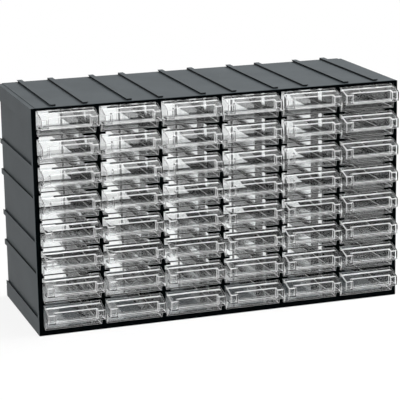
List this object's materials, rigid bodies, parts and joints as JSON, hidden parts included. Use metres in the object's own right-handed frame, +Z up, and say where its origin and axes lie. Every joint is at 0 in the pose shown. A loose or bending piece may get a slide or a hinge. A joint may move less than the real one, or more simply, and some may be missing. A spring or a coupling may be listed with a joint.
{
  "type": "parts bin cabinet",
  "caption": "Low wide cabinet of clear pull-out drawers for small parts, in a dark plastic casing with stacking rails on its top and sides and an open back.",
  "frame": {"origin": "on the surface the cabinet stands on, under the middle of its whole box, drawer fronts included", "axes": "+X to the right seen from the drawers' side, -Y towards the person who opens them, +Z up"},
  "size_m": [0.382, 0.164, 0.23],
  "materials": {
    "casing": "fine-grained moulded polystyrene, charcoal",
    "inner_frame": "moulded polystyrene, near black",
    "drawer": "clear moulded polystyrene, glossy"
  },
  "bodies": {
    "cabinet": {"casing": "casing", "bezel": "inner_frame", "rear_grid": "inner_frame", "left_side_frame": "inner_frame", "right_side_frame": "inner_frame", "divider_1": "inner_frame", "divider_2": "inner_frame", "divider_3": "inner_frame", "divider_4": "inner_frame", "divider_5": "inner_frame"},
    "drawer_row_1_column_1": {"drawer_row_1_column_1": "drawer"},
    "drawer_row_1_column_2": {"drawer_row_1_column_2": "drawer"},
    "drawer_row_1_column_3": {"drawer_row_1_column_3": "drawer"},
    "drawer_row_1_column_4": {"drawer_row_1_column_4": "drawer"},
    "drawer_row_1_column_5": {"drawer_row_1_column_5": "drawer"},
    "drawer_row_1_column_6": {"drawer_row_1_column_6": "drawer"},
    "drawer_row_2_column_1": {"drawer_row_2_column_1": "drawer"},
    "drawer_row_2_column_2": {"drawer_row_2_column_2": "drawer"},
    "drawer_row_2_column_3": {"drawer_row_2_column_3": "drawer"},
    "drawer_row_2_column_4": {"drawer_row_2_column_4": "drawer"},
    "drawer_row_2_column_5": {"drawer_row_2_column_5": "drawer"},
    "drawer_row_2_column_6": {"drawer_row_2_column_6": "drawer"},
    "drawer_row_3_column_1": {"drawer_row_3_column_1": "drawer"},
    "drawer_row_3_column_2": {"drawer_row_3_column_2": "drawer"},
    "drawer_row_3_column_3": {"drawer_row_3_column_3": "drawer"},
    "drawer_row_3_column_4": {"drawer_row_3_column_4": "drawer"},
    "drawer_row_3_column_5": {"drawer_row_3_column_5": "drawer"},
    "drawer_row_3_column_6": {"drawer_row_3_column_6": "drawer"},
    "drawer_row_4_column_1": {"drawer_row_4_column_1": "drawer"},
    "drawer_row_4_column_2": {"drawer_row_4_column_2": "drawer"},
    "drawer_row_4_column_3": {"drawer_row_4_column_3": "drawer"},
    "drawer_row_4_column_4": {"drawer_row_4_column_4": "drawer"},
    "drawer_row_4_column_5": {"drawer_row_4_column_5": "drawer"},
    "drawer_row_4_column_6": {"drawer_row_4_column_6": "drawer"},
    "drawer_row_5_column_1": {"drawer_row_5_column_1": "drawer"},
    "drawer_row_5_column_2": {"drawer_row_5_column_2": "drawer"},
    "drawer_row_5_column_3": {"drawer_row_5_column_3": "drawer"},
    "drawer_row_5_column_4": {"drawer_row_5_column_4": "drawer"},
    "drawer_row_5_column_5": {"drawer_row_5_column_5": "drawer"},
    "drawer_row_5_column_6": {"drawer_row_5_column_6": "drawer"},
    "drawer_row_6_column_1": {"drawer_row_6_column_1": "drawer"},
    "drawer_row_6_column_2": {"drawer_row_6_column_2": "drawer"},
    "drawer_row_6_column_3": {"drawer_row_6_column_3": "drawer"},
    "drawer_row_6_column_4": {"drawer_row_6_column_4": "drawer"},
    "drawer_row_6_column_5": {"drawer_row_6_column_5": "drawer"},
    "drawer_row_6_column_6": {"drawer_row_6_column_6": "drawer"},
    "drawer_row_7_column_1": {"drawer_row_7_column_1": "drawer"},
    "drawer_row_7_column_2": {"drawer_row_7_column_2": "drawer"},
    "drawer_row_7_column_3": {"drawer_row_7_column_3": "drawer"},
    "drawer_row_7_column_4": {"drawer_row_7_column_4": "drawer"},
    "drawer_row_7_column_5": {"drawer_row_7_column_5": "drawer"},
    "drawer_row_7_column_6": {"drawer_row_7_column_6": "drawer"},
    "drawer_row_8_column_1": {"drawer_row_8_column_1": "drawer"},
    "drawer_row_8_column_2": {"drawer_row_8_column_2": "drawer"},
    "drawer_row_8_column_3": {"drawer_row_8_column_3": "drawer"},
    "drawer_row_8_column_4": {"drawer_row_8_column_4": "drawer"},
    "drawer_row_8_column_5": {"drawer_row_8_column_5": "drawer"},
    "drawer_row_8_column_6": {"drawer_row_8_column_6": "drawer"}
  },
  "joints": [
    {"name": "drawer_row_1_column_1_slide", "type": "slide", "parent": "cabinet", "child": "drawer_row_1_column_1", "axis": [0, -1, 0], "range_m": [0, 0.115]},
    {"name": "drawer_row_1_column_2_slide", "type": "slide", "parent": "cabinet", "child": "drawer_row_1_column_2", "axis": [0, -1, 0], "range_m": [0, 0.115]},
    {"name": "drawer_row_1_column_3_slide", "type": "slide", "parent": "cabinet", "child": "drawer_row_1_column_3", "axis": [0, -1, 0], "range_m": [0, 0.115]},
    {"name": "drawer_row_1_column_4_slide", "type": "slide", "parent": "cabinet", "child": "drawer_row_1_column_4", "axis": [0, -1, 0], "range_m": [0, 0.115]},
    {"name": "drawer_row_1_column_5_slide", "type": "slide", "parent": "cabinet", "child": "drawer_row_1_column_5", "axis": [0, -1, 0], "range_m": [0, 0.115]},
    {"name": "drawer_row_1_column_6_slide", "type": "slide", "parent": "cabinet", "child": "drawer_row_1_column_6", "axis": [0, -1, 0], "range_m": [0, 0.115]},
    {"name": "drawer_row_2_column_1_slide", "type": "slide", "parent": "cabinet", "child": "drawer_row_2_column_1", "axis": [0, -1, 0], "range_m": [0, 0.115]},
    {"name": "drawer_row_2_column_2_slide", "type": "slide", "parent": "cabinet", "child": "drawer_row_2_column_2", "axis": [0, -1, 0], "range_m": [0, 0.115]},
    {"name": "drawer_row_2_column_3_slide", "type": "slide", "parent": "cabinet", "child": "drawer_row_2_column_3", "axis": [0, -1, 0], "range_m": [0, 0.115]},
    {"name": "drawer_row_2_column_4_slide", "type": "slide", "parent": "cabinet", "child": "drawer_row_2_column_4", "axis": [0, -1, 0], "range_m": [0, 0.115]},
    {"name": "drawer_row_2_column_5_slide", "type": "slide", "parent": "cabinet", "child": "drawer_row_2_column_5", "axis": [0, -1, 0], "range_m": [0, 0.115]},
    {"name": "drawer_row_2_column_6_slide", "type": "slide", "parent": "cabinet", "child": "drawer_row_2_column_6", "axis": [0, -1, 0], "range_m": [0, 0.115]},
    {"name": "drawer_row_3_column_1_slide", "type": "slide", "parent": "cabinet", "child": "drawer_row_3_column_1", "axis": [0, -1, 0], "range_m": [0, 0.115]},
    {"name": "drawer_row_3_column_2_slide", "type": "slide", "parent": "cabinet", "child": "drawer_row_3_column_2", "axis": [0, -1, 0], "range_m": [0, 0.115]},
    {"name": "drawer_row_3_column_3_slide", "type": "slide", "parent": "cabinet", "child": "drawer_row_3_column_3", "axis": [0, -1, 0], "range_m": [0, 0.115]},
    {"name": "drawer_row_3_column_4_slide", "type": "slide", "parent": "cabinet", "child": "drawer_row_3_column_4", "axis": [0, -1, 0], "range_m": [0, 0.115]},
    {"name": "drawer_row_3_column_5_slide", "type": "slide", "parent": "cabinet", "child": "drawer_row_3_column_5", "axis": [0, -1, 0], "range_m": [0, 0.115]},
    {"name": "drawer_row_3_column_6_slide", "type": "slide", "parent": "cabinet", "child": "drawer_row_3_column_6", "axis": [0, -1, 0], "range_m": [0, 0.115]},
    {"name": "drawer_row_4_column_1_slide", "type": "slide", "parent": "cabinet", "child": "drawer_row_4_column_1", "axis": [0, -1, 0], "range_m": [0, 0.115]},
    {"name": "drawer_row_4_column_2_slide", "type": "slide", "parent": "cabinet", "child": "drawer_row_4_column_2", "axis": [0, -1, 0], "range_m": [0, 0.115]},
    {"name": "drawer_row_4_column_3_slide", "type": "slide", "parent": "cabinet", "child": "drawer_row_4_column_3", "axis": [0, -1, 0], "range_m": [0, 0.115]},
    {"name": "drawer_row_4_column_4_slide", "type": "slide", "parent": "cabinet", "child": "drawer_row_4_column_4", "axis": [0, -1, 0], "range_m": [0, 0.115]},
    {"name": "drawer_row_4_column_5_slide", "type": "slide", "parent": "cabinet", "child": "drawer_row_4_column_5", "axis": [0, -1, 0], "range_m": [0, 0.115]},
    {"name": "drawer_row_4_column_6_slide", "type": "slide", "parent": "cabinet", "child": "drawer_row_4_column_6", "axis": [0, -1, 0], "range_m": [0, 0.115]},
    {"name": "drawer_row_5_column_1_slide", "type": "slide", "parent": "cabinet", "child": "drawer_row_5_column_1", "axis": [0, -1, 0], "range_m": [0, 0.115]},
    {"name": "drawer_row_5_column_2_slide", "type": "slide", "parent": "cabinet", "child": "drawer_row_5_column_2", "axis": [0, -1, 0], "range_m": [0, 0.115]},
    {"name": "drawer_row_5_column_3_slide", "type": "slide", "parent": "cabinet", "child": "drawer_row_5_column_3", "axis": [0, -1, 0], "range_m": [0, 0.115]},
    {"name": "drawer_row_5_column_4_slide", "type": "slide", "parent": "cabinet", "child": "drawer_row_5_column_4", "axis": [0, -1, 0], "range_m": [0, 0.115]},
    {"name": "drawer_row_5_column_5_slide", "type": "slide", "parent": "cabinet", "child": "drawer_row_5_column_5", "axis": [0, -1, 0], "range_m": [0, 0.115]},
    {"name": "drawer_row_5_column_6_slide", "type": "slide", "parent": "cabinet", "child": "drawer_row_5_column_6", "axis": [0, -1, 0], "range_m": [0, 0.115]},
    {"name": "drawer_row_6_column_1_slide", "type": "slide", "parent": "cabinet", "child": "drawer_row_6_column_1", "axis": [0, -1, 0], "range_m": [0, 0.115]},
    {"name": "drawer_row_6_column_2_slide", "type": "slide", "parent": "cabinet", "child": "drawer_row_6_column_2", "axis": [0, -1, 0], "range_m": [0, 0.115]},
    {"name": "drawer_row_6_column_3_slide", "type": "slide", "parent": "cabinet", "child": "drawer_row_6_column_3", "axis": [0, -1, 0], "range_m": [0, 0.115]},
    {"name": "drawer_row_6_column_4_slide", "type": "slide", "parent": "cabinet", "child": "drawer_row_6_column_4", "axis": [0, -1, 0], "range_m": [0, 0.115]},
    {"name": "drawer_row_6_column_5_slide", "type": "slide", "parent": "cabinet", "child": "drawer_row_6_column_5", "axis": [0, -1, 0], "range_m": [0, 0.115]},
    {"name": "drawer_row_6_column_6_slide", "type": "slide", "parent": "cabinet", "child": "drawer_row_6_column_6", "axis": [0, -1, 0], "range_m": [0, 0.115]},
    {"name": "drawer_row_7_column_1_slide", "type": "slide", "parent": "cabinet", "child": "drawer_row_7_column_1", "axis": [0, -1, 0], "range_m": [0, 0.115]},
    {"name": "drawer_row_7_column_2_slide", "type": "slide", "parent": "cabinet", "child": "drawer_row_7_column_2", "axis": [0, -1, 0], "range_m": [0, 0.115]},
    {"name": "drawer_row_7_column_3_slide", "type": "slide", "parent": "cabinet", "child": "drawer_row_7_column_3", "axis": [0, -1, 0], "range_m": [0, 0.115]},
    {"name": "drawer_row_7_column_4_slide", "type": "slide", "parent": "cabinet", "child": "drawer_row_7_column_4", "axis": [0, -1, 0], "range_m": [0, 0.115]},
    {"name": "drawer_row_7_column_5_slide", "type": "slide", "parent": "cabinet", "child": "drawer_row_7_column_5", "axis": [0, -1, 0], "range_m": [0, 0.115]},
    {"name": "drawer_row_7_column_6_slide", "type": "slide", "parent": "cabinet", "child": "drawer_row_7_column_6", "axis": [0, -1, 0], "range_m": [0, 0.115]},
    {"name": "drawer_row_8_column_1_slide", "type": "slide", "parent": "cabinet", "child": "drawer_row_8_column_1", "axis": [0, -1, 0], "range_m": [0, 0.115]},
    {"name": "drawer_row_8_column_2_slide", "type": "slide", "parent": "cabinet", "child": "drawer_row_8_column_2", "axis": [0, -1, 0], "range_m": [0, 0.115]},
    {"name": "drawer_row_8_column_3_slide", "type": "slide", "parent": "cabinet", "child": "drawer_row_8_column_3", "axis": [0, -1, 0], "range_m": [0, 0.115]},
    {"name": "drawer_row_8_column_4_slide", "type": "slide", "parent": "cabinet", "child": "drawer_row_8_column_4", "axis": [0, -1, 0], "range_m": [0, 0.115]},
    {"name": "drawer_row_8_column_5_slide", "type": "slide", "parent": "cabinet", "child": "drawer_row_8_column_5", "axis": [0, -1, 0], "range_m": [0, 0.115]},
    {"name": "drawer_row_8_column_6_slide", "type": "slide", "parent": "cabinet", "child": "drawer_row_8_column_6", "axis": [0, -1, 0], "range_m": [0, 0.115]}
  ]
}
